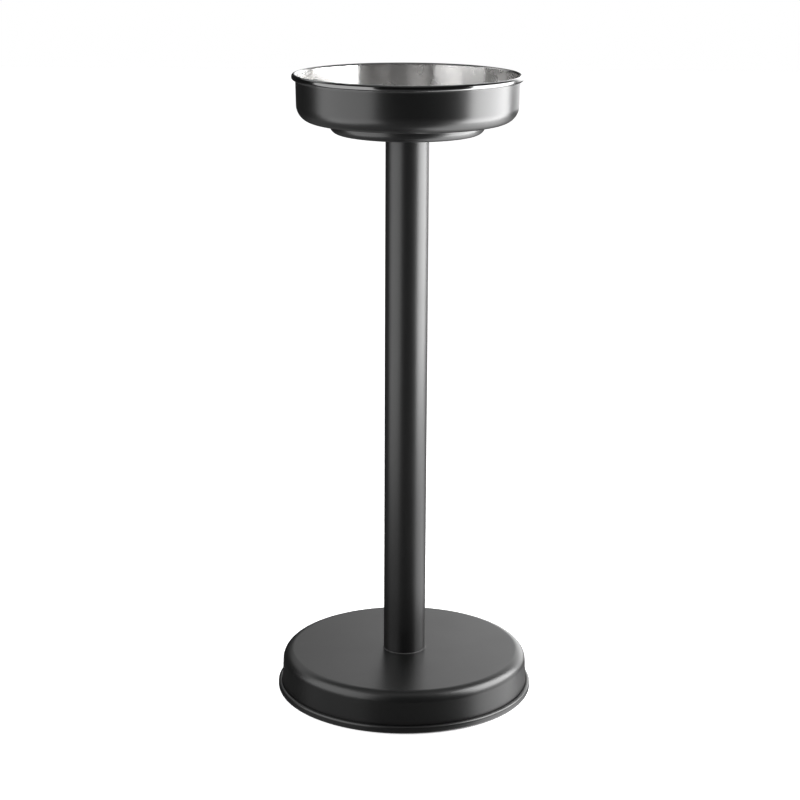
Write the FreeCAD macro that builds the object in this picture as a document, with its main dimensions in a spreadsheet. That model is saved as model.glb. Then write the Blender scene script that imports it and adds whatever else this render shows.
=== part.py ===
"""A floor stand that holds a wine bucket: a pressed bowl on a round column, on a weighted round base.

Millimetres, +Z up. The origin is on the floor, on the stand's vertical axis.
The two visible pressings are drawn as the line of one sheet surface, thickened by the sheet's gauge and
turned round the axis. Everything that bolts them together is a turned or moulded piece.
"""
import FreeCAD
import Part
import Sketcher

import math
import os

V = FreeCAD.Vector

# Driving dimensions: each row is a cell's alias, its value in millimetres or degrees, and what it is.
DIMENSIONS = [
    ("pad_step", 1.0, "how far the floor pad stands below the rolled hem"),
    ("cover_gauge", 1.2, "sheet of the base cover"),
    ("cover_height", 38.2, "hem's lowest point to the cover's flat top"),
    ("cover_flat_radius", 107.3, "where the flat top meets the shoulder"),
    ("cover_shoulder", 10.2, "outer radius of the shoulder"),
    ("cover_skirt_angle", 2.5, "flare of the skirt from the vertical"),
    ("cover_hole", 10.3, "radius of the centre hole"),
    ("hem_reach", 3.7, "how far the hem stands out of the skirt"),
    ("hem_height", 7.4, "height of the rolled hem"),
    ("roll_end", 110.0, "how far a roll's last bend turns back to the wall"),
    ("plate_gauge", 0.8, "sheet of the bottom plate"),
    ("plate_gap", 0.05, "gap between the bottom plate's flange and the skirt"),
    ("plate_flange", 8.0, "height of the bottom plate's turned-up flange"),
    ("plate_bend", 2.0, "outer bend radius of that flange"),
    ("access_radius", 22.0, "hole for the socket wrench"),
    ("pad_radius", 112.0, "floor pad"),
    ("pad_thickness", 4.0, "floor pad"),
    ("ballast_radius", 104.0, "ballast disc"),
    ("ballast_thickness", 9.0, "ballast disc"),
    ("ballast_edge", 3.0, "rounding of the ballast's upper edge"),
    ("ballast_recess_radius", 19.0, "recess for the lower washer"),
    ("ballast_recess_depth", 2.0, "recess for the lower washer"),
    ("column_radius", 20.0, "tube, outside"),
    ("column_wall", 1.2, "tube wall"),
    ("column_length", 499.0, "tube, end to end"),
    ("column_chamfer", 0.4, "broken outer edges of the tube's ends"),
    ("gasket_thickness", 0.8, "washer between tube and base cover"),
    ("gasket_overhang", 0.5, "how far that washer shows round the tube"),
    ("plug_gap", 0.05, "gap between a plug and the tube's bore"),
    ("plug_setback", 0.5, "gap between the upper plug and the spigot"),
    ("plug_chamfer", 1.0, "broken edges of the plugs"),
    ("upper_plug_height", 14.0, "threaded plug in the tube's upper end"),
    ("lower_plug_height", 16.0, "threaded plug in the tube's lower end"),
    ("boss_radius", 10.0, "centring boss of the lower plug"),
    ("boss_height", 1.8, "centring boss of the lower plug"),
    ("bowl_gauge", 1.0, "sheet of the bucket holder"),
    ("bowl_height", 54.0, "well's underside to the rim's top"),
    ("bowl_radius", 101.4, "outside, where the wall leaves the corner"),
    ("bowl_draft", 1.2, "lean of the wall from the vertical"),
    ("bowl_corner", 15.4, "outer radius between wall and floor"),
    ("bowl_floor_angle", 5.0, "rise of the floor towards the wall"),
    ("rim_reach", 3.5, "how far the rolled rim stands out of the wall"),
    ("rim_height", 5.4, "height of the rolled rim"),
    ("well_radius", 71.3, "outside of the well at the foot of its top bend"),
    ("well_depth", 9.5, "well's underside to the floor round it"),
    ("well_corner", 8.2, "outer radius at the well's foot"),
    ("well_bend", 1.5, "radius where the well meets the floor round it"),
    ("well_wall_angle", 80.0, "slope of the well's wall from the level"),
    ("spigot_radius", 18.1, "outside of the spigot that drops into the tube"),
    ("spigot_depth", 9.0, "depth of the spigot"),
    ("spigot_corner", 2.0, "outer radius at the spigot's foot"),
    ("spigot_bend", 0.6, "radius where the spigot meets the well"),
    ("holder_hole", 4.5, "bolt hole in the spigot"),
    ("thread_gap", 0.05, "radial gap between a bolt and its plain-drawn thread"),
    ("holder_bolt_radius", 4.0, "M8 screw"),
    ("holder_bolt_length", 20.0, "M8 screw, under its head"),
    ("holder_head_flats", 13.0, "M8 head across flats"),
    ("holder_head_height", 5.3, "M8 head"),
    ("holder_washer_radius", 15.0, "wide washer under the M8 head"),
    ("holder_washer_hole", 4.2, "wide washer under the M8 head"),
    ("holder_washer_thickness", 1.6, "wide washer under the M8 head"),
    ("seal_radius", 14.0, "rubber washer under the wide washer"),
    ("seal_thickness", 1.5, "rubber washer under the wide washer"),
    ("base_bolt_radius", 5.0, "M10 screw"),
    ("base_bolt_length", 30.0, "M10 screw, under its head"),
    ("base_head_flats", 17.0, "M10 head across flats"),
    ("base_head_height", 6.4, "M10 head"),
    ("base_washer_radius", 15.0, "flat washer under the ballast"),
    ("base_washer_hole", 5.3, "flat washer under the ballast"),
    ("base_washer_thickness", 2.5, "flat washer under the ballast"),
    ("spring_washer_radius", 9.0, "split washer, outside"),
    ("spring_washer_thickness", 2.2, "split washer"),
    ("spring_washer_slit", 1.6, "split washer's slit"),
    ("bolt_hole", 5.6, "clearance hole through the ballast"),
    ("head_chamfer_angle", 30.0, "chamfer on the bolt heads' corners"),
    ("bolt_point", 0.8, "chamfer on a bolt's end"),
]

# Heights of the joint faces above the floor, as expressions over the cells.
HEM_FOOT = "dims.pad_step"
COVER_TOP = f"({HEM_FOOT} + dims.cover_height)"
COVER_UNDERSIDE = f"({COVER_TOP} - dims.cover_gauge)"
COLUMN_FOOT = f"({COVER_TOP} + dims.gasket_thickness)"
COLUMN_TOP = f"({COLUMN_FOOT} + dims.column_length)"
SPIGOT_UNDERSIDE = f"({COLUMN_TOP} - dims.spigot_depth)"
SPIGOT_FLOOR = f"({SPIGOT_UNDERSIDE} + dims.bowl_gauge)"
HOLDER_WASHER_FOOT = f"({SPIGOT_FLOOR} + dims.seal_thickness)"
HOLDER_HEAD_FOOT = f"({HOLDER_WASHER_FOOT} + dims.holder_washer_thickness)"
BALLAST_UNDERSIDE = f"({COVER_UNDERSIDE} - dims.ballast_thickness)"
BASE_WASHER_FOOT = f"({BALLAST_UNDERSIDE} + dims.ballast_recess_depth - dims.base_washer_thickness)"
SPRING_WASHER_FOOT = f"({BASE_WASHER_FOOT} - dims.spring_washer_thickness)"
BORE_RADIUS = "(dims.column_radius - dims.column_wall)"

# The skirt's inner face is a cone. PLATE_RADIUS is its radius where the plate's flange ends, less a gap.
SKIRT_ANGLE = "(dims.cover_skirt_angle * 1 deg)"
SHOULDER_INSIDE = f"((dims.cover_shoulder - dims.cover_gauge) / cos({SKIRT_ANGLE}))"
FLANGE_DROP = f"({COVER_TOP} - dims.cover_shoulder - dims.pad_thickness - dims.plate_flange)"
SKIRT_RUN = f"({FLANGE_DROP} * tan({SKIRT_ANGLE}))"
PLATE_RADIUS = f"(dims.cover_flat_radius + {SHOULDER_INSIDE} + {SKIRT_RUN} - dims.plate_gap)"


def make_sheet(doc):
    """The spreadsheet of driving dimensions."""
    sheet = doc.addObject("Spreadsheet::Sheet", "dims")
    for row, (alias, value, note) in enumerate(DIMENSIONS, start=1):
        sheet.set(f"A{row}", note)
        sheet.set(f"B{row}", str(value))
        sheet.setAlias(f"B{row}", alias)
    doc.recompute()
    return sheet


def number(doc, expression):
    """The value of an expression over the cells, as a plain number."""
    value = doc.getObject("dims").evalExpression(expression)
    return float(getattr(value, "Value", value))


def upright_section():
    """Sketch X becomes the radius and sketch Y the height."""
    return FreeCAD.Placement(V(0, 0, 0), FreeCAD.Rotation(V(1, 0, 0), 90))


class SheetLine:
    """One surface line of a pressing: tangent lines and arcs, drawn in radius and height."""

    def __init__(self, doc, name, start, heading):
        self.doc = doc
        self.sketch = doc.addObject("Sketcher::SketchObject", name)
        self.sketch.Placement = upright_section()
        self.pen = V(*start, 0)
        self.heading = math.radians(heading)
        self.last = None

    def _join(self, geometry, entry, leave):
        index = self.sketch.addGeometry(geometry, False)
        if self.last is not None:
            self.sketch.addConstraint(Sketcher.Constraint("Tangent", *self.last, index, entry))
        self.last = (index, leave)
        return index

    def line(self, length):
        """A straight stretch. Its length is a first guess, which the constraints settle."""
        end = self.pen + V(math.cos(self.heading), math.sin(self.heading), 0) * length
        index = self._join(Part.LineSegment(self.pen, end), 1, 2)
        self.pen = end
        return index

    def bend(self, radius, turn):
        """An arc that turns left by turn degrees, or right if turn is negative. radius is an expression."""
        size = number(self.doc, radius)
        side = 1 if turn > 0 else -1
        centre = self.pen + V(-math.sin(self.heading), math.cos(self.heading), 0) * size * side
        first = math.atan2(self.pen.y - centre.y, self.pen.x - centre.x)
        last = first + math.radians(turn)
        ends = (first, last) if turn > 0 else (last, first)
        circle = Part.Circle(centre, V(0, 0, 1), size)
        index = self._join(Part.ArcOfCircle(circle, *ends), *((1, 2) if turn > 0 else (2, 1)))
        self.pen = centre + V(math.cos(last), math.sin(last), 0) * size
        self.heading += math.radians(turn)
        self.hold("Radius", index, radius)
        return index

    def hold(self, kind, *rest):
        """A dimensional constraint bound to an expression, which is the last argument."""
        *where, expression = rest
        value = number(self.doc, expression)
        if kind == "Angle":
            value = math.radians(value)
        index = self.sketch.addConstraint(Sketcher.Constraint(kind, *where, value))
        self.sketch.setExpression(f"Constraints[{index}]", expression)

    def fix(self, kind, *where):
        """A constraint with no size, such as Horizontal."""
        self.sketch.addConstraint(Sketcher.Constraint(kind, *where))


def rolled_edge(path, reach, height, gauge, end_turn, side):
    """A roll that turns back outside the wall: a half turn, a straight back and a last bend to the wall."""
    inner = f"(({reach} - {gauge}) / 2)"
    half_turn = 180.0 if side > 0 else -180.0
    lean = math.degrees(path.heading) - (90 if side < 0 else -90)
    first = path.bend(inner, half_turn - lean)
    back_length = f"({height} - {reach} - {gauge})"
    back = path.line(number(path.doc, back_length))
    path.fix("Vertical", back)
    path.hold("Distance", back, back_length)
    last = path.bend(inner, side * number(path.doc, end_turn))
    path.hold("Angle", last, f"{end_turn} * 1 deg")
    return first


def pressing(doc, path, gauge, label, foot):
    """Thickens a sheet line to its gauge, turns it round the axis and sets it at its height."""
    strip = doc.addObject("Part::Offset2D", label + "_strip")
    strip.Source = path.sketch
    strip.Mode = "Skin"
    strip.Fill = True
    strip.setExpression("Value", gauge)
    solid = doc.addObject("Part::Revolution", label)
    solid.Label = label
    solid.Source = strip
    solid.Axis = V(0, 0, 1)
    solid.Angle = 360
    solid.setExpression("Placement.Base.z", foot)
    return solid


def bucket_holder(doc):
    """The bowl: a spigot that drops into the tube, a shallow well, a floor, a wall and a rolled rim."""
    n = lambda expression: number(doc, expression)
    path = SheetLine(doc, "holder_line", (n("dims.holder_hole"), -n("dims.spigot_depth")), 0)
    spigot_floor = path.line(n("dims.spigot_radius - dims.spigot_corner - dims.holder_hole"))
    path.bend("dims.spigot_corner", 90)
    spigot_wall = path.line(n("dims.spigot_depth - dims.spigot_corner - dims.spigot_bend"))
    path.bend("dims.spigot_bend", -90)
    well_floor = path.line(n("dims.well_radius - dims.well_corner - dims.spigot_radius"))
    path.bend("dims.well_corner", n("dims.well_wall_angle"))
    well_wall = path.line(n("dims.well_depth - dims.well_corner"))
    path.bend("dims.well_bend", n("dims.bowl_floor_angle - dims.well_wall_angle"))
    floor = path.line(n("dims.bowl_radius - dims.bowl_corner - dims.well_radius"))
    path.bend("dims.bowl_corner", 90 - n("dims.bowl_floor_angle + dims.bowl_draft"))
    wall = path.line(n("dims.bowl_height - dims.well_depth - dims.bowl_corner - dims.rim_height"))
    curl = rolled_edge(path, "dims.rim_reach", "dims.rim_height", "dims.bowl_gauge", "dims.roll_end", -1)
    path.fix("Horizontal", spigot_floor)
    path.hold("DistanceX", -1, 1, spigot_floor, 1, "dims.holder_hole")
    path.hold("DistanceY", spigot_floor, 1, -1, 1, "dims.spigot_depth")
    path.fix("Vertical", spigot_wall)
    path.hold("DistanceX", -1, 1, spigot_wall, 1, "dims.spigot_radius")
    path.fix("Horizontal", well_floor)
    path.fix("PointOnObject", well_floor, 1, -1)
    path.hold("Angle", well_wall, "dims.well_wall_angle * 1 deg")
    path.hold("DistanceX", -1, 1, well_wall, 2, "dims.well_radius")
    path.hold("DistanceY", -1, 1, floor, 1, "dims.well_depth")
    path.hold("Angle", floor, "dims.bowl_floor_angle * 1 deg")
    path.hold("Angle", wall, "(90 - dims.bowl_draft) * 1 deg")
    path.hold("DistanceX", -1, 1, wall, 1, "dims.bowl_radius")
    path.hold("DistanceY", -1, 1, curl, 3, "dims.bowl_height - (dims.rim_reach + dims.bowl_gauge) / 2")
    return pressing(doc, path, "dims.bowl_gauge", "bucket_holder", COLUMN_TOP)


def base_cover(doc):
    """The base's shell: a flat top, a round shoulder, a flared skirt and a rolled hem."""
    n = lambda expression: number(doc, expression)
    path = SheetLine(doc, "cover_line", (n("dims.cover_hole"), 0), 0)
    top = path.line(n("dims.cover_flat_radius - dims.cover_hole"))
    path.bend("dims.cover_shoulder", n("dims.cover_skirt_angle") - 90)
    skirt = path.line(n("dims.cover_height - dims.cover_shoulder - dims.hem_height / 3"))
    hem = rolled_edge(path, "dims.hem_reach", "dims.hem_height", "dims.cover_gauge", "dims.roll_end", 1)
    path.fix("Horizontal", top)
    path.fix("PointOnObject", top, 1, -1)
    path.hold("DistanceX", -1, 1, top, 1, "dims.cover_hole")
    path.hold("DistanceX", -1, 1, top, 2, "dims.cover_flat_radius")
    path.hold("Angle", skirt, "(dims.cover_skirt_angle - 90) * 1 deg")
    path.hold("DistanceY", hem, 3, -1, 1, "dims.cover_height - (dims.hem_reach + dims.cover_gauge) / 2")
    return pressing(doc, path, "-dims.cover_gauge", "base_cover", COVER_TOP)


def bottom_plate(doc):
    """The disc that closes the base from below. Its turned-up flange lies along the skirt's inside."""
    n = lambda expression: number(doc, expression)
    path = SheetLine(doc, "plate_line", (n("dims.access_radius"), 0), 0)
    disc = path.line(n(f"{PLATE_RADIUS} - dims.plate_bend - dims.access_radius"))
    path.bend("dims.plate_bend", 90 + n("dims.cover_skirt_angle"))
    flange = path.line(n("dims.plate_flange - dims.plate_bend"))
    path.fix("Horizontal", disc)
    path.fix("PointOnObject", disc, 1, -1)
    path.hold("DistanceX", -1, 1, disc, 1, "dims.access_radius")
    path.hold("Angle", flange, "(90 + dims.cover_skirt_angle) * 1 deg")
    path.hold("DistanceX", -1, 1, flange, 2, PLATE_RADIUS)
    path.hold("DistanceY", -1, 1, flange, 2, "dims.plate_flange")
    return pressing(doc, path, "dims.plate_gauge", "bottom_plate", "dims.pad_thickness")


def cylinder(doc, name, radius, height, foot="0"):
    """An upright Part cylinder with its foot at a height above the floor."""
    shape = doc.addObject("Part::Cylinder", name)
    shape.setExpression("Radius", radius)
    shape.setExpression("Height", height)
    shape.setExpression("Placement.Base.z", foot)
    return shape


def ring(doc, label, outer, inner, height, foot):
    """A flat ring, such as a washer."""
    cut = doc.addObject("Part::Cut", label)
    cut.Label = label
    cut.Base = cylinder(doc, label + "_disc", outer, height, foot)
    cut.Tool = cylinder(doc, label + "_hole", inner, height, foot)
    return cut


def plane_of(body, role):
    """A body's own origin plane, by its role."""
    return next(feature for feature in body.Origin.OriginFeatures if feature.Role == role)


def circle_sketch(doc, body, name, radii, height="0"):
    """Concentric circles on a body's horizontal plane, raised to a height."""
    sketch = body.newObject("Sketcher::SketchObject", name)
    sketch.AttachmentSupport = (plane_of(body, "XY_Plane"), [""])
    sketch.MapMode = "FlatFace"
    sketch.setExpression("AttachmentOffset.Base.z", height)
    for radius in radii:
        circle = Part.Circle(V(0, 0, 0), V(0, 0, 1), number(doc, radius))
        index = sketch.addGeometry(circle, False)
        sketch.addConstraint(Sketcher.Constraint("Coincident", index, 3, -1, 1))
        size = sketch.addConstraint(Sketcher.Constraint("Radius", index, number(doc, radius)))
        sketch.setExpression(f"Constraints[{size}]", radius)
    return sketch


def extrude(doc, body, kind, name, sketch, length, reversed_way=False):
    """A Pad or Pocket of one sketch."""
    feature = body.newObject("PartDesign::" + kind, name)
    feature.Profile = sketch
    feature.setExpression("Length", length)
    feature.Reversed = reversed_way
    body.Tip = feature
    doc.recompute()
    return feature


def rim_edges(doc, feature, radius, height):
    """The names of a feature's round edges of one radius at one height."""
    radius = number(doc, radius)
    height = number(doc, height)
    found = []
    for index, edge in enumerate(feature.Shape.Edges, start=1):
        curve = edge.Curve
        if not isinstance(curve, Part.Circle):
            continue
        if abs(curve.Radius - radius) < 1e-3 and abs(curve.Center.z - height) < 1e-3:
            found.append(f"Edge{index}")
    return found


def soften(doc, body, kind, name, size, places):
    """A Chamfer or Fillet on the round edges at the given (radius, height) places."""
    base = body.Tip
    feature = body.newObject("PartDesign::" + kind, name)
    feature.Base = (base, [edge for place in places for edge in rim_edges(doc, base, *place)])
    feature.setExpression("Size" if kind == "Chamfer" else "Radius", size)
    body.Tip = feature
    doc.recompute()


def new_body(doc, label, foot):
    """A PartDesign body whose own zero is at a height above the floor."""
    body = doc.addObject("PartDesign::Body", label)
    body.Label = label
    body.setExpression("Placement.Base.z", foot)
    return body


def column_tube(doc):
    """The round tube, with its outer end edges broken."""
    body = new_body(doc, "column_tube", COLUMN_FOOT)
    section = circle_sketch(doc, body, "tube_section", ["dims.column_radius", BORE_RADIUS])
    extrude(doc, body, "Pad", "tube_length", section, "dims.column_length")
    ends = [("dims.column_radius", "0"), ("dims.column_radius", "dims.column_length")]
    soften(doc, body, "Chamfer", "tube_ends", "dims.column_chamfer", ends)
    return body


def plug(doc, label, foot, height, bolt_radius):
    """A threaded plug for one end of the tube, with its thread drawn as a plain hole."""
    body = new_body(doc, label, foot)
    outside = f"({BORE_RADIUS} - dims.plug_gap)"
    blank = circle_sketch(doc, body, label + "_blank", [outside, f"({bolt_radius} + dims.thread_gap)"])
    extrude(doc, body, "Pad", label + "_height", blank, height)
    soften(doc, body, "Chamfer", label + "_edges", "dims.plug_chamfer", [(outside, "0"), (outside, height)])
    return body


def upper_plug(doc):
    """The plug that the holder's bolt screws into."""
    foot = f"({SPIGOT_UNDERSIDE} - dims.plug_setback - dims.upper_plug_height)"
    return plug(doc, "upper_plug", foot, "dims.upper_plug_height", "dims.holder_bolt_radius")


def lower_plug(doc):
    """The plug that the base bolt screws into, with a boss that centres the column in the cover."""
    body = plug(doc, "lower_plug", COLUMN_FOOT, "dims.lower_plug_height", "dims.base_bolt_radius")
    bore = "(dims.base_bolt_radius + dims.thread_gap)"
    boss = circle_sketch(doc, body, "boss_section", ["dims.boss_radius", bore])
    extrude(doc, body, "Pad", "boss", boss, "dims.boss_height", reversed_way=True)
    return body


def ballast(doc):
    """The cast disc under the cover's top, with a recess for the lower washer."""
    body = new_body(doc, "ballast_disc", BALLAST_UNDERSIDE)
    section = circle_sketch(doc, body, "ballast_section", ["dims.ballast_radius", "dims.bolt_hole"])
    extrude(doc, body, "Pad", "ballast_height", section, "dims.ballast_thickness")
    recess = circle_sketch(doc, body, "recess_section", ["dims.ballast_recess_radius"])
    extrude(doc, body, "Pocket", "recess", recess, "dims.ballast_recess_depth", reversed_way=True)
    edge = [("dims.ballast_radius", "dims.ballast_thickness")]
    soften(doc, body, "Fillet", "ballast_rounding", "dims.ballast_edge", edge)
    return body


def bolt(doc, label, radius, length, flats, head_height, head_foot, head_up):
    """A hexagon screw: a chamfered head and a plain-drawn shank with a pointed end."""
    corner = f"({flats} / sqrt(3))"
    prism = doc.addObject("Part::Prism", label + "_hexagon")
    prism.Polygon = 6
    prism.setExpression("Circumradius", corner)
    prism.setExpression("Height", head_height)
    turning = doc.addObject("Part::Cone", label + "_turning")
    drop = f"({head_height} / tan(dims.head_chamfer_angle * 1 deg))"
    turning.setExpression("Radius1", f"{flats} / 2 + {drop}")
    turning.setExpression("Radius2", f"{flats} / 2")
    turning.setExpression("Height", head_height)
    head = doc.addObject("Part::Common", label + "_head")
    head.Base = prism
    head.Tool = turning
    straight = f"{length} - dims.bolt_point"
    shank = cylinder(doc, label + "_shank", radius, straight, f"-({straight})")
    point = doc.addObject("Part::Cone", label + "_point")
    point.setExpression("Radius1", f"{radius} - dims.bolt_point")
    point.setExpression("Radius2", radius)
    point.setExpression("Height", "dims.bolt_point")
    point.setExpression("Placement.Base.z", f"-{length}")
    whole = doc.addObject("Part::MultiFuse", label)
    whole.Label = label
    whole.Shapes = [head, shank, point]
    whole.Refine = True
    whole.Placement = FreeCAD.Placement(V(0, 0, 0), FreeCAD.Rotation(V(1, 0, 0), 0 if head_up else 180))
    whole.setExpression("Placement.Base.z", head_foot)
    return whole


def spring_washer(doc):
    """A split washer: a ring with one slit."""
    whole = ring(
        doc,
        "base_spring_washer_ring",
        "dims.spring_washer_radius",
        "dims.base_washer_hole",
        "dims.spring_washer_thickness",
        SPRING_WASHER_FOOT,
    )
    slit = doc.addObject("Part::Box", "spring_washer_slit_cut")
    slit.setExpression("Length", "dims.spring_washer_radius")
    slit.setExpression("Width", "dims.spring_washer_slit")
    slit.setExpression("Height", "dims.spring_washer_thickness")
    slit.setExpression("Placement.Base.y", "-dims.spring_washer_slit / 2")
    slit.setExpression("Placement.Base.z", SPRING_WASHER_FOOT)
    split = doc.addObject("Part::Cut", "base_spring_washer")
    split.Label = "base_spring_washer"
    split.Base = whole
    split.Tool = slit
    return split


def washers_and_seals(doc):
    """The flat rings: floor pad, column gasket, holder washers and base washer."""
    return [
        ring(doc, "floor_pad", "dims.pad_radius", "dims.access_radius", "dims.pad_thickness", "0"),
        ring(
            doc,
            "column_gasket",
            "dims.column_radius + dims.gasket_overhang",
            "dims.cover_hole",
            "dims.gasket_thickness",
            COVER_TOP,
        ),
        ring(
            doc,
            "holder_seal_washer",
            "dims.seal_radius",
            "dims.holder_washer_hole",
            "dims.seal_thickness",
            SPIGOT_FLOOR,
        ),
        ring(
            doc,
            "holder_washer",
            "dims.holder_washer_radius",
            "dims.holder_washer_hole",
            "dims.holder_washer_thickness",
            HOLDER_WASHER_FOOT,
        ),
        ring(
            doc,
            "base_washer",
            "dims.base_washer_radius",
            "dims.base_washer_hole",
            "dims.base_washer_thickness",
            BASE_WASHER_FOOT,
        ),
    ]


def bolts(doc):
    """The screw that holds the bowl down and the screw that holds the base up."""
    return [
        bolt(
            doc,
            "holder_bolt",
            "dims.holder_bolt_radius",
            "dims.holder_bolt_length",
            "dims.holder_head_flats",
            "dims.holder_head_height",
            HOLDER_HEAD_FOOT,
            head_up=True,
        ),
        bolt(
            doc,
            "base_bolt",
            "dims.base_bolt_radius",
            "dims.base_bolt_length",
            "dims.base_head_flats",
            "dims.base_head_height",
            SPRING_WASHER_FOOT,
            head_up=False,
        ),
    ]


def check_document(doc, pieces):
    """Stops with a message if any object failed or any sub-part isn't a valid solid."""
    for item in doc.Objects:
        if "Invalid" in item.State or "Error" in item.State:
            raise SystemExit(f"{item.Label} failed: {item.State}")
    for piece in pieces:
        shape = piece.Shape
        if shape.isNull() or not shape.isValid() or not shape.Solids:
            raise SystemExit(f"{piece.Label} is not a valid solid")
        volume = shape.Volume / 1000
        print(f"{piece.Label}: {len(shape.Solids)} solid, {volume:.2f} cm3, top {shape.BoundBox.ZMax:.2f}")


def main():
    doc = FreeCAD.newDocument("bucket_stand")
    make_sheet(doc)
    pieces = [bucket_holder(doc), base_cover(doc), bottom_plate(doc)]
    pieces += [column_tube(doc), upper_plug(doc), lower_plug(doc), ballast(doc), spring_washer(doc)]
    pieces += washers_and_seals(doc)
    pieces += bolts(doc)
    doc.recompute()
    check_document(doc, pieces)
    os.makedirs("parts", exist_ok=True)
    for piece in pieces:
        piece.Shape.exportStep(f"parts/{piece.Label}.step")


main()
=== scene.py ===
"""A black bucket stand in a plain pale studio: a bowl on a round column, on a weighted round base.

Metres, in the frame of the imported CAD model. Section sizes are given in millimetres and scaled by MM.
"""
import math

import bpy
import numpy as np
from mathutils import Matrix, Vector


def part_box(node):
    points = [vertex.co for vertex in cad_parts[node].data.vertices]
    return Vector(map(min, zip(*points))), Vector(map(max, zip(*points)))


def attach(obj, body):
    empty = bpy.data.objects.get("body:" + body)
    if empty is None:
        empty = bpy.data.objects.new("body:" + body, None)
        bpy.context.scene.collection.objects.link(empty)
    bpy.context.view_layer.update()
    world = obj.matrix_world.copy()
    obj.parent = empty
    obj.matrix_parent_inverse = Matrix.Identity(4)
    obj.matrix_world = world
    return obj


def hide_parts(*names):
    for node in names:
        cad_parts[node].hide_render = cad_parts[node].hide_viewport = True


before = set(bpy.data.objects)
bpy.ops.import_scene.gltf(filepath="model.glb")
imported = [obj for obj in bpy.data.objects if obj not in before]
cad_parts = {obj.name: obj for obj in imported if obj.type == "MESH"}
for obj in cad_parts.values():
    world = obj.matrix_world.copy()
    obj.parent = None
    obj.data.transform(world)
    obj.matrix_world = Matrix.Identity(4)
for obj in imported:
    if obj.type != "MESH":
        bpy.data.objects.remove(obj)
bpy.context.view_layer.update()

MM = 0.001
TURN_SEGMENTS = 256
ARC_STEP = math.radians(6)
END_STEPS = 8

# ---------------------------------------------------------------- sections


def unit(vector):
    return vector / np.linalg.norm(vector)


def left_of(direction):
    return np.array([-direction[1], direction[0]])


def rounded(corners):
    """The smooth line through corners given as (radius, height, rounding), in millimetres.

    Returns its points and their unit normals, to the left of the way the line runs.
    """
    spots = np.array([corner[:2] for corner in corners], float)
    points = [spots[0]]
    normals = [left_of(unit(spots[1] - spots[0]))]
    for index in range(1, len(corners) - 1):
        behind = unit(spots[index] - spots[index - 1])
        ahead = unit(spots[index + 1] - spots[index])
        turn = math.atan2(behind[0] * ahead[1] - behind[1] * ahead[0], behind @ ahead)
        size = corners[index][2]
        side = math.copysign(1, turn)
        start = spots[index] - behind * size * math.tan(abs(turn) / 2)
        centre = start + left_of(behind) * size * side
        steps = max(2, math.ceil(abs(turn) / ARC_STEP))
        for angle in np.linspace(0, turn, steps + 1):
            spin = np.array([[math.cos(angle), -math.sin(angle)], [math.sin(angle), math.cos(angle)]])
            normal = spin @ left_of(behind)
            points.append(centre - normal * size * side)
            normals.append(normal)
    points.append(spots[-1])
    normals.append(left_of(unit(spots[-1] - spots[-2])))
    return np.array(points), np.array(normals)


def round_end(near, far, first, sweep):
    """Points and normals of the half round that joins a sheet's two faces at its edge."""
    angles = first + np.linspace(0, sweep, END_STEPS + 1)[1:-1]
    normals = np.stack([np.cos(angles), np.sin(angles)], axis=1)
    return (near + far) / 2 + normals * np.linalg.norm(far - near) / 2, normals


def sheet_section(line, near, far):
    """The closed section between two offsets from a line, to its left, with both edges rounded.

    An offset is one number, or one for each point of the line.
    """
    points, normals = line
    near = points + normals * np.broadcast_to(near, len(points))[:, None]
    far = points + normals * np.broadcast_to(far, len(points))[:, None]
    side = math.copysign(1, (far[0] - near[0]) @ normals[0])
    leaving = math.atan2(-side * normals[-1][1], -side * normals[-1][0])
    returning = math.atan2(side * normals[0][1], side * normals[0][0])
    far_end = round_end(near[-1], far[-1], leaving, side * math.pi)
    near_end = round_end(near[0], far[0], returning, side * math.pi)
    ring = [near, far_end[0], far[::-1], near_end[0]]
    facing = [-side * normals, far_end[1], (side * normals)[::-1], near_end[1]]
    return np.concatenate(ring), np.concatenate(facing)


def solid_section(corners):
    """The closed section through corners given as (radius, height, rounding), in millimetres.

    The corners run anticlockwise.
    """
    start = [(corners[-1][axis] + corners[0][axis]) / 2 for axis in (0, 1)]
    points, normals = rounded([(*start, 0), *corners, (*start, 0)])
    return points[:-1], -normals[:-1]


def ring_section(inner, outer, foot, top, rounding):
    """The section of a flat ring with all four edges rounded."""
    return solid_section(
        [(inner, foot, rounding), (outer, foot, rounding), (outer, top, rounding), (inner, top, rounding)]
    )


# ---------------------------------------------------------------- meshes


def add_piece(name, data, nodes, material):
    """Puts a mesh in the scene as a piece that stands for some CAD nodes and rides on the one body."""
    piece = bpy.data.objects.new(name, data)
    bpy.context.scene.collection.objects.link(piece)
    data.materials.append(material)
    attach(piece, "root")
    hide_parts(*nodes)


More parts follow.
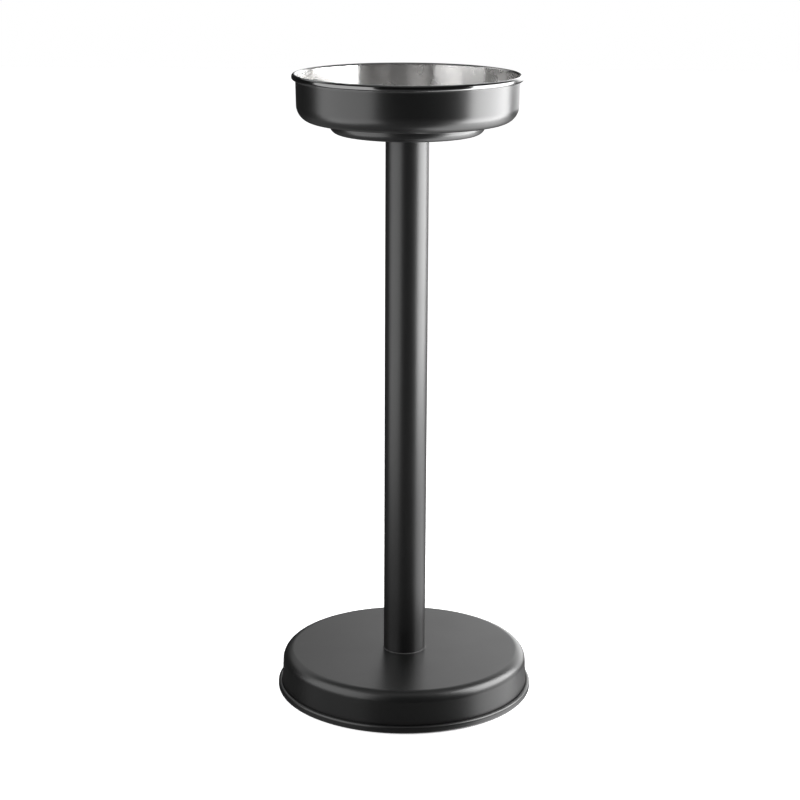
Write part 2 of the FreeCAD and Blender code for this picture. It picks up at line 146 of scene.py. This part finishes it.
def lathe(name, section, foot):
    """A closed section turned round the vertical axis, with its true normals.

    foot is the height at which the section's own heights start, in metres.
    """
    points, normals = section
    following = np.roll(points, -1, axis=0)
    area = np.sum(points[:, 0] * following[:, 1] - following[:, 0] * points[:, 1])
    if area < 0:
        points, normals = points[::-1], normals[::-1]
    turns = np.linspace(0, 2 * math.pi, TURN_SEGMENTS, endpoint=False)
    across = np.stack([np.cos(turns), np.sin(turns)], axis=1)
    places = np.empty((len(points), TURN_SEGMENTS, 3))
    places[:, :, :2] = (points[:, 0] * MM)[:, None, None] * across
    places[:, :, 2] = (points[:, 1] * MM + foot)[:, None]
    facing = np.empty_like(places)
    facing[:, :, :2] = normals[:, 0][:, None, None] * across
    facing[:, :, 2] = normals[:, 1][:, None]
    rows = np.arange(len(points))[:, None] * TURN_SEGMENTS
    next_rows = np.roll(rows, -1, axis=0)
    columns = np.arange(TURN_SEGMENTS)[None, :]
    next_columns = np.roll(columns, -1, axis=1)
    corners = (rows + columns, rows + next_columns, next_rows + next_columns, next_rows + columns)
    faces = np.stack(corners, axis=-1).reshape(-1, 4)
    data = bpy.data.meshes.new(name)
    data.from_pydata(places.reshape(-1, 3).tolist(), [], faces.tolist())
    data.polygons.foreach_set("use_smooth", [True] * len(data.polygons))
    data.normals_split_custom_set_from_vertices(facing.reshape(-1, 3).tolist())
    data.update()
    return data


# ---------------------------------------------------------------- shader nodes

NOISE_LOW = 0.3
NOISE_HIGH = 0.7


class Shader:
    """A node tree built with short calls. A socket given as an input is linked, a number is set."""

    def __init__(self, owner):
        owner.use_nodes = True
        self.owner = owner
        self.tree = owner.node_tree
        self.tree.nodes.clear()
        self.coordinates = self.add("ShaderNodeTexCoord").outputs
        self.place = self.coordinates["Object"]

    def add(self, kind, inputs=None, **settings):
        node = self.tree.nodes.new(kind)
        for key, value in settings.items():
            setattr(node, key, value)
        for key, value in (inputs or {}).items():
            if isinstance(value, bpy.types.NodeSocket):
                self.tree.links.new(value, node.inputs[key])
            else:
                node.inputs[key].default_value = value
        return node

    def noise(self, size, detail=2.0, roughness=0.5, place=None):
        """Noise of about 0.5 on average, whose blotches are about size metres across."""
        inputs = {"Vector": place or self.place, "Scale": 1 / size}
        inputs.update({"Detail": detail, "Roughness": roughness})
        return self.add("ShaderNodeTexNoise", inputs).outputs["Fac"]

    def math(self, operation, *values):
        return self.add("ShaderNodeMath", dict(enumerate(values)), operation=operation).outputs[0]

    def span(self, value, low, high, start=0.0, end=1.0, soft=False):
        """value from low..high mapped to start..end and held there."""
        inputs = {"Value": value, "From Min": low, "From Max": high, "To Min": start, "To Max": end}
        kind = "SMOOTHSTEP" if soft else "LINEAR"
        return self.add("ShaderNodeMapRange", inputs, interpolation_type=kind).outputs["Result"]

    def vary(self, noise, start=0.0, end=1.0):
        """start to end over the range that noise mostly keeps to."""
        return self.span(noise, NOISE_LOW, NOISE_HIGH, start, end)

    def blend(self, share, first, second):
        """first at share 0, second at share 1, as colours."""
        node = self.add("ShaderNodeMix", data_type="RGBA")
        for socket, value in ((node.inputs[0], share), (node.inputs[6], first), (node.inputs[7], second)):
            if isinstance(value, bpy.types.NodeSocket):
                self.tree.links.new(value, socket)
            else:
                socket.default_value = value
        return node.outputs[2]

    def bump(self, height, depth, normal=None):
        """A relief of the given depth in metres, where height runs from 0 to 1."""
        inputs = {"Height": height, "Distance": depth, "Strength": 1.0}
        if normal is not None:
            inputs["Normal"] = normal
        return self.add("ShaderNodeBump", inputs).outputs["Normal"]

    def section_place(self):
        """Coordinates that don't change round the stand's axis: noise on them makes rings."""
        across, deep, height = self.add("ShaderNodeSeparateXYZ", {0: self.place}).outputs
        squares = self.math("ADD", self.math("MULTIPLY", across, across), self.math("MULTIPLY", deep, deep))
        radius = self.math("SQRT", squares)
        return self.add("ShaderNodeCombineXYZ", {0: radius, 1: height, 2: 0.0}).outputs[0]

    def finish(self, **inputs):
        """The material, made from a principled surface with these inputs."""
        named = {key.replace("_", " "): value for key, value in inputs.items()}
        surface = self.add("ShaderNodeBsdfPrincipled", named).outputs[0]
        self.add("ShaderNodeOutputMaterial", {"Surface": surface})
        return self.owner


def new_shader(name):
    return Shader(bpy.data.materials.new(name))


def grey(value, warmth=0.0):
    """A linear grey, slightly warm or cool."""
    return (value * (1 + warmth), value, value * (1 - warmth), 1.0)


# ---------------------------------------------------------------- materials

COAT_GREYS = (0.0018, 0.0032)
COAT_COOLNESS = -0.02
COAT_UNEVENNESS = 0.015
RIM_METAL = 0.12
RIM_GLOSS = 0.16


def black_coating(name, satin):
    """Satin black powder coat, with a fine orange peel and faint waves.

    At the holder's rim it is burnished to a smoother, dark metallic sheen. satin is the mean roughness, which
    differs a little from piece to piece.
    """
    shader = new_shader(name)
    height = shader.add("ShaderNodeSeparateXYZ", {0: shader.place}).outputs["Z"]
    blotches = shader.noise(0.045, detail=3.0)
    specks = shader.noise(0.0006, detail=1.0)
    peel = shader.noise(0.0011, detail=2.0, roughness=0.6)
    waves = shader.noise(0.03, detail=1.0)
    dark, light = [grey(value, COAT_COOLNESS) for value in COAT_GREYS]
    speckled = shader.blend(shader.span(specks, 0.35, 0.65), dark, light)
    burnished = shader.span(height, RIM_SHINE_START, RIM_SHINE_FULL, soft=True)
    colour = shader.blend(burnished, speckled, grey(RIM_METAL))
    uneven = shader.vary(blotches, satin - COAT_UNEVENNESS, satin + COAT_UNEVENNESS)
    roughness = shader.math("SUBTRACT", uneven, shader.math("MULTIPLY", burnished, RIM_GLOSS))
    relief = shader.bump(waves, 0.000012)
    relief = shader.bump(peel, 0.0000035, relief)
    return shader.finish(Base_Color=colour, Metallic=burnished, Roughness=roughness, IOR=1.5, Normal=relief)


def polished_steel():
    """Stainless steel polished on a spindle.

    It smears a reflection up and down but not sideways, and its fine rings differ a little in brightness.
    """
    shader = new_shader("polished_steel")
    rings = shader.noise(0.0004, detail=3.0, roughness=0.7, place=shader.section_place())
    haze = shader.noise(0.02, detail=3.0)
    colour = shader.blend(shader.vary(rings), grey(0.80, 0.01), grey(0.84, 0.01))
    roughness = shader.vary(haze, 0.25, 0.28)
    round_axis = shader.add("ShaderNodeTangent", direction_type="RADIAL", axis="Z").outputs[0]
    return shader.finish(
        Base_Color=colour,
        Metallic=1.0,
        Roughness=roughness,
        Anisotropic=1.0,
        Anisotropic_Rotation=0.25,
        Tangent=round_axis,
    )


def zinc_plate():
    """Bright zinc plate on a pressed or headed part, with a cloudy, faintly blue passivation."""
    shader = new_shader("zinc_plate")
    clouds = shader.noise(0.004, detail=4.0, roughness=0.6)
    grain = shader.noise(0.0003, detail=2.0)
    colour = shader.blend(shader.vary(clouds), (0.50, 0.53, 0.56, 1), (0.66, 0.66, 0.63, 1))
    roughness = shader.vary(clouds, 0.22, 0.36)
    relief = shader.bump(grain, 0.000002)
    return shader.finish(Base_Color=colour, Metallic=1.0, Roughness=roughness, Normal=relief)


def turned_steel():
    """Plain turned steel with a film of oil: fine tool rings."""
    shader = new_shader("turned_steel")
    rings = shader.noise(0.00015, detail=2.0, place=shader.section_place())
    stain = shader.noise(0.008, detail=3.0)
    colour = shader.blend(shader.span(stain, 0.35, 0.7), grey(0.42, 0.03), grey(0.30, 0.06))
    roughness = shader.vary(stain, 0.28, 0.42)
    relief = shader.bump(rings, 0.000004)
    return shader.finish(Base_Color=colour, Metallic=1.0, Roughness=roughness, Normal=relief)


def soft_rubber():
    """Black moulded rubber with a little bloom."""
    shader = new_shader("soft_rubber")
    bloom = shader.noise(0.006, detail=4.0)
    grain = shader.noise(0.0005, detail=2.0)
    colour = shader.blend(shader.span(bloom, 0.4, 0.75), grey(0.014), grey(0.032))
    roughness = shader.vary(bloom, 0.62, 0.80)
    relief = shader.bump(grain, 0.00001)
    return shader.finish(Base_Color=colour, Roughness=roughness, Normal=relief)


def black_nylon():
    """Moulded black nylon, a little lighter than the coat beside it."""
    shader = new_shader("black_nylon")
    flow = shader.noise(0.003, detail=3.0)
    grain = shader.noise(0.0004, detail=1.0)
    colour = shader.blend(shader.vary(flow), grey(0.030), grey(0.042))
    roughness = shader.vary(flow, 0.40, 0.52)
    relief = shader.bump(grain, 0.000006)
    return shader.finish(Base_Color=colour, Roughness=roughness, IOR=1.53, Normal=relief)


def cast_iron():
    """Sand-cast iron under a thin film of oil."""
    shader = new_shader("cast_iron")
    sand = shader.noise(0.0016, detail=5.0, roughness=0.65)
    scale = shader.noise(0.02, detail=4.0)
    colour = shader.blend(shader.span(scale, 0.35, 0.65), grey(0.055, 0.04), grey(0.10, 0.10))
    roughness = shader.vary(sand, 0.48, 0.72)
    relief = shader.bump(sand, 0.00018)
    return shader.finish(Base_Color=colour, Metallic=0.7, Roughness=roughness, Normal=relief)


def thin_black_paint():
    """Thin black paint on the base's bottom plate, with rolled grain and a few rubbed spots."""
    shader = new_shader("thin_black_paint")
    rolled = shader.add("ShaderNodeMapping", {"Vector": shader.place, "Scale": (1.0, 12.0, 1.0)}).outputs[0]
    grain = shader.noise(0.004, detail=4.0, place=rolled)
    spots = shader.noise(0.012, detail=6.0, roughness=0.7)
    colour = shader.blend(shader.span(spots, 0.62, 0.72), grey(0.012), grey(0.045, 0.05))
    roughness = shader.vary(grain, 0.34, 0.5)
    relief = shader.bump(grain, 0.000012)
    return shader.finish(Base_Color=colour, Roughness=roughness, Normal=relief)


def closed_cell_foam():
    """Charcoal foam sheet: fine closed cells with painted shade in their hollows, cut clean, and a little
    dust.
    """
    shader = new_shader("closed_cell_foam")
    cells = shader.add("ShaderNodeTexVoronoi", {"Vector": shader.place, "Scale": 1 / 0.0011}, feature="F1")
    pore_depth_and_shade = shader.span(cells.outputs["Distance"], 0.15, 0.6)
    dust = shader.noise(0.015, detail=4.0)
    # painted shade: each cell is darker towards its hollow middle, where the pore bump is lowest
    dark = shader.blend(pore_depth_and_shade, grey(0.020), grey(0.036))
    colour = shader.blend(shader.span(dust, 0.5, 0.8, 0.0, 0.5), dark, grey(0.08, 0.03))
    relief = shader.bump(pore_depth_and_shade, 0.00012)
    return shader.finish(Base_Color=colour, Roughness=0.9, Normal=relief)


def pale_floor():
    """A seamless pale studio floor that is lit from below too, with a very faint mottling."""
    shader = new_shader("pale_floor")
    mottle = shader.noise(0.25, detail=3.0)
    colour = shader.blend(shader.vary(mottle), grey(0.80), grey(0.82))
    return shader.finish(Base_Color=colour, Roughness=0.9, Emission_Color=colour, Emission_Strength=0.85)


# ---------------------------------------------------------------- the holder's bowl

RIM_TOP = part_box("bucket_holder")[1].z
RIM_SHINE_START = RIM_TOP - 7.0 * MM
RIM_SHINE_FULL = RIM_TOP - 4.5 * MM

# The outlines follow the outer face of each sheet, as (radius, height, rounding) in millimetres. A sheet's
# rounded edge stands half its thickness past the outline's end.

HOLDER_GAUGE = 1.0
POLISH_DEPTH = 0.08
RIM_ROLL = 1.25
MASK_HEIGHT = 52.4
HOLDER_LINE = [
    (5.0, -9.0, 0),  # edge of the bolt's hole
    (18.1, -9.0, 2.0),  # foot of the spigot
    (18.1, 0.0, 0.6),  # top of the spigot
    (69.84, 0.0, 8.2),  # foot of the well
    (71.50, 9.40, 1.5),  # top of the well
    (101.11, 11.99, 15.4),  # bottom corner of the bowl
    (101.97, 53.0, RIM_ROLL),  # the rim, rolled outwards
    (104.444, 53.0, RIM_ROLL),
    (104.444, 49.065, RIM_ROLL),
    (102.72, 49.692, 0),
]


def bucket_holder(coat, polish):
    """The black pressing, and the polished skin that lines it up to a masked edge on the rim's crown."""
    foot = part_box("column_tube")[1].z
    points, normals = rounded(HOLDER_LINE)
    masked = int(np.argmax(points[:, 1] > MASK_HEIGHT))
    lining = (points[: masked + 1], normals[: masked + 1])
    skin = sheet_section(lining, HOLDER_GAUGE - POLISH_DEPTH, HOLDER_GAUGE)
    depth = np.where(np.arange(len(points)) <= masked, HOLDER_GAUGE - POLISH_DEPTH, HOLDER_GAUGE)
    sheet = sheet_section((points, normals), 0.0, depth)
    add_piece("bucket_holder_coated", lathe("bucket_holder_coated", sheet, foot), ["bucket_holder"],
              coat)
    add_piece("bucket_holder_polished", lathe("bucket_holder_polished", skin, foot), ["bucket_holder"],
              polish)


# ---------------------------------------------------------------- the base

COVER_GAUGE = 1.2
HEM_ROLL = 1.25
COVER_LINE = [
    (10.9, 0.0, 0),  # edge of the centre hole
    (117.064, 0.0, 10.2),  # shoulder
    (118.679, -37.0, HEM_ROLL),  # foot of the skirt, and its rolled hem
    (121.125, -37.0, HEM_ROLL),
    (121.125, -31.465, HEM_ROLL),
    (119.40, -32.093, 0),
]
PLATE_GAUGE = 0.8
PLATE_HOLE = 22.4
PLATE_BEND = 2.0
FLANGE_HEIGHT = 7.6


def base_cover(coat):
    """The base's black shell, with its rolled hem."""
    section = sheet_section(rounded(COVER_LINE), 0.0, -COVER_GAUGE)
    data = lathe("base_cover_shell", section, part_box("base_cover")[1].z)
    add_piece("base_cover_shell", data, ["base_cover"], coat)


def bottom_plate(paint):
    """The plate that closes the base, with its turned-up flange."""
    low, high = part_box("bottom_plate")
    outer = high.x / MM
    line = rounded([(PLATE_HOLE, 0.0, 0), (outer + 0.08, 0.0, PLATE_BEND), (outer - 0.25, FLANGE_HEIGHT, 0)])
    data = lathe("bottom_plate_pressing", sheet_section(line, 0.0, PLATE_GAUGE), low.z)
    add_piece("bottom_plate_pressing", data, ["bottom_plate"], paint)


def flat_ring(name, node, material, inner, rounding):
    """A washer, gasket or pad: the CAD ring with its edges rounded. inner is the hole's radius."""
    low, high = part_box(node)
    section = ring_section(inner, high.x / MM, 0.0, (high.z - low.z) / MM, rounding)
    add_piece(name, lathe(name, section, low.z), [node], material)


TUBE_WALL = 1.2
TUBE_ROUNDING = 0.4
TUBE_BORE_ROUNDING = 0.2


def column(coat):
    """The tube, with its ends just broken."""
    low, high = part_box("column_tube")
    outer = high.x / MM
    length = (high.z - low.z) / MM
    bore = outer - TUBE_WALL
    section = solid_section([
        (bore, 0.0, TUBE_BORE_ROUNDING),
        (outer, 0.0, TUBE_ROUNDING),
        (outer, length, TUBE_ROUNDING),
        (bore, length, TUBE_BORE_ROUNDING),
    ])
    add_piece("column_tube_coated", lathe("column_tube_coated", section, low.z), ["column_tube"],
              coat)


# ---------------------------------------------------------------- the studio

LENS = 91.85
SENSOR_WIDTH = 36.0
CAMERA_PLACE = (0.0, -1.8603, 0.7806)
CAMERA_TURN = 0.168
CAMERA_DIP = 14.848
CAMERA_ROLL = 0.31

FLOOR_WIDTH = 12.0

# Where the side lights stand, as the (x, y) of their nearer and further sides.
RIGHT_SIDE = ((0.43, -0.25), (0.95, 0.6))
LEFT_SIDE = ((-0.30, -0.51), (-0.577, 0.061))
FILL_FOOT = -0.3

# Each panel has the azimuth of its middle, counted from the camera's side to its right, its half width, and
# the width over which its sides die away. Then come the elevations of its foot, of where its full light
# starts and ends, and of its top, and last its strength. Angles are in degrees.
PANELS = [
    (-164, 55, 14, 20, 30, 40, 50, 1.1),  # behind, high
    (157, 10, 20, -12, -2, 16, 28, 3.6),  # behind, level
    (0, 180, 10, 50, 70, 90, 91, 0.45),  # overhead
    (0, 180, 10, -91, -90, -34, -20, 0.18),  # below, all round
    (0, 30, 30, -20, -16, -14, -11, 0.3),  # in front, low
    (105, 15, 55, -91, -90, -34, -14, 3.4),  # below, at the right
    (-85, 25, 45, -91, -90, -38, -20, 0.15),  # below, at the left
]


def softbox(name, near, far, foot, head, radiance):
    """An upright rectangle of light that faces the stand.

    near and far are where its upright sides stand, as (x, y); foot and head are its lowest and highest.
    """
    along = Vector(far) - Vector(near)
    middle = (Vector(far) + Vector(near)) / 2
    light = bpy.data.lights.new(name, "AREA")
    light.shape = "RECTANGLE"
    light.size = along.length
    light.size_y = head - foot
    light.energy = radiance * math.pi * light.size * light.size_y
    lamp = bpy.data.objects.new(name, light)
    bpy.context.scene.collection.objects.link(lamp)
    outward = Vector((along.y, -along.x, 0.0))
    outward *= math.copysign(1, outward.xy @ middle)
    lamp.location = (middle.x, middle.y, (foot + head) / 2)
    lamp.rotation_euler = outward.to_track_quat("Z", "Y").to_euler()
    lamp.visible_camera = False


def studio_world(backdrop, ambient, room, panels):
    """The studio: soft panels of light in a dim room, all far away.

    backdrop is what the camera sees, and ambient lights matt surfaces evenly. A glossy surface sees the
    panels.
    """
    world = bpy.data.worlds.new("studio")
    bpy.context.scene.world = world
    sky = Shader(world)
    parts = sky.add("ShaderNodeSeparateXYZ", {0: sky.coordinates["Generated"]}).outputs
    azimuth = sky.math("DEGREES", sky.math("ARCTAN2", parts[0], sky.math("MULTIPLY", parts[1], -1.0)))
    elevation = sky.math("DEGREES", sky.math("ARCSINE", parts[2]))
    seen = room
    for centre, half, edge, foot, low, high, top, strength in panels:
        turned = sky.math("WRAP", sky.math("SUBTRACT", azimuth, centre), 180.0, -180.0)
        across = sky.span(sky.math("ABSOLUTE", turned), half, half + edge, strength, 0.0, soft=True)
        above = sky.span(elevation, foot, low, soft=True)
        below = sky.span(elevation, high, top, 1.0, 0.0, soft=True)
        panel = sky.math("MULTIPLY", across, sky.math("MULTIPLY", above, below))
        seen = sky.math("ADD", seen, panel)
    path = sky.add("ShaderNodeLightPath").outputs
    for ray, strength in (("Is Diffuse Ray", ambient), ("Is Camera Ray", backdrop)):
        mix = sky.add("ShaderNodeMix", {"Factor": path[ray], "A": seen, "B": strength}, data_type="FLOAT")
        seen = mix.outputs["Result"]
    light = sky.add("ShaderNodeBackground", {"Color": grey(1.0), "Strength": seen}).outputs[0]
    sky.add("ShaderNodeOutputWorld", {"Surface": light})
    world.cycles.sampling_method = "NONE"


def studio_floor(material):
    """A large flat sheet under the stand."""
    half = FLOOR_WIDTH / 2
    corners = [(-half, -half, 0), (half, -half, 0), (half, half, 0), (-half, half, 0)]
    data = bpy.data.meshes.new("studio_floor")
    data.from_pydata(corners, [], [(0, 1, 2, 3)])
    data.materials.append(material)
    floor = bpy.data.objects.new("studio_floor", data)
    bpy.context.scene.collection.objects.link(floor)
    floor.visible_glossy = False


def camera():
    """The viewpoint: in front, a little above the rim, looking down at the middle of the stand."""
    data = bpy.data.cameras.new("camera")
    data.lens = LENS
    data.sensor_width = SENSOR_WIDTH
    view = bpy.data.objects.new("camera", data)
    bpy.context.scene.collection.objects.link(view)
    view.location = CAMERA_PLACE
    turn = Matrix.Rotation(math.radians(CAMERA_TURN), 4, "Z")
    tilt = Matrix.Rotation(math.radians(90 - CAMERA_DIP), 4, "X")
    roll = Matrix.Rotation(math.radians(CAMERA_ROLL), 4, "Z")
    view.rotation_euler = (turn @ tilt @ roll).to_euler()
    bpy.context.scene.camera = view


# ---------------------------------------------------------------- everything


zinc = zinc_plate()
bucket_holder(black_coating("holder_coat", 0.30), polished_steel())
column(black_coating("column_coat", 0.38))
base_cover(black_coating("cover_coat", 0.34))
bottom_plate(thin_black_paint())
flat_ring("column_gasket_ring", "column_gasket", black_nylon(), inner=10.3, rounding=0.25)
flat_ring("floor_pad_ring", "floor_pad", closed_cell_foam(), inner=22.0, rounding=0.5)
flat_ring("holder_seal_ring", "holder_seal_washer", soft_rubber(), inner=4.2, rounding=0.3)
flat_ring("holder_washer_ring", "holder_washer", zinc, inner=4.2, rounding=0.25)
flat_ring("base_washer_ring", "base_washer", zinc, inner=5.3, rounding=0.3)
for node, material in (
    ("upper_plug", turned_steel()),
    ("lower_plug", turned_steel()),
    ("ballast_disc", cast_iron()),
    ("base_spring_washer", zinc),
    ("holder_bolt", zinc),
    ("base_bolt", zinc),
):
    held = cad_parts[node]
    held.data.materials.clear()
    held.data.materials.append(material)

bpy.context.scene.view_settings.view_transform = "Standard"
studio_world(backdrop=1.0, ambient=0.5, room=0.03, panels=PANELS)
studio_floor(pale_floor())
softbox("right_softbox", *RIGHT_SIDE, foot=0.14, head=0.72, radiance=12.0)
softbox("right_fill", *RIGHT_SIDE, foot=FILL_FOOT, head=0.14, radiance=2.3)
softbox("left_softbox", *LEFT_SIDE, foot=0.06, head=0.735, radiance=2.8)
softbox("left_fill", *LEFT_SIDE, foot=FILL_FOOT, head=0.06, radiance=0.3)
camera()
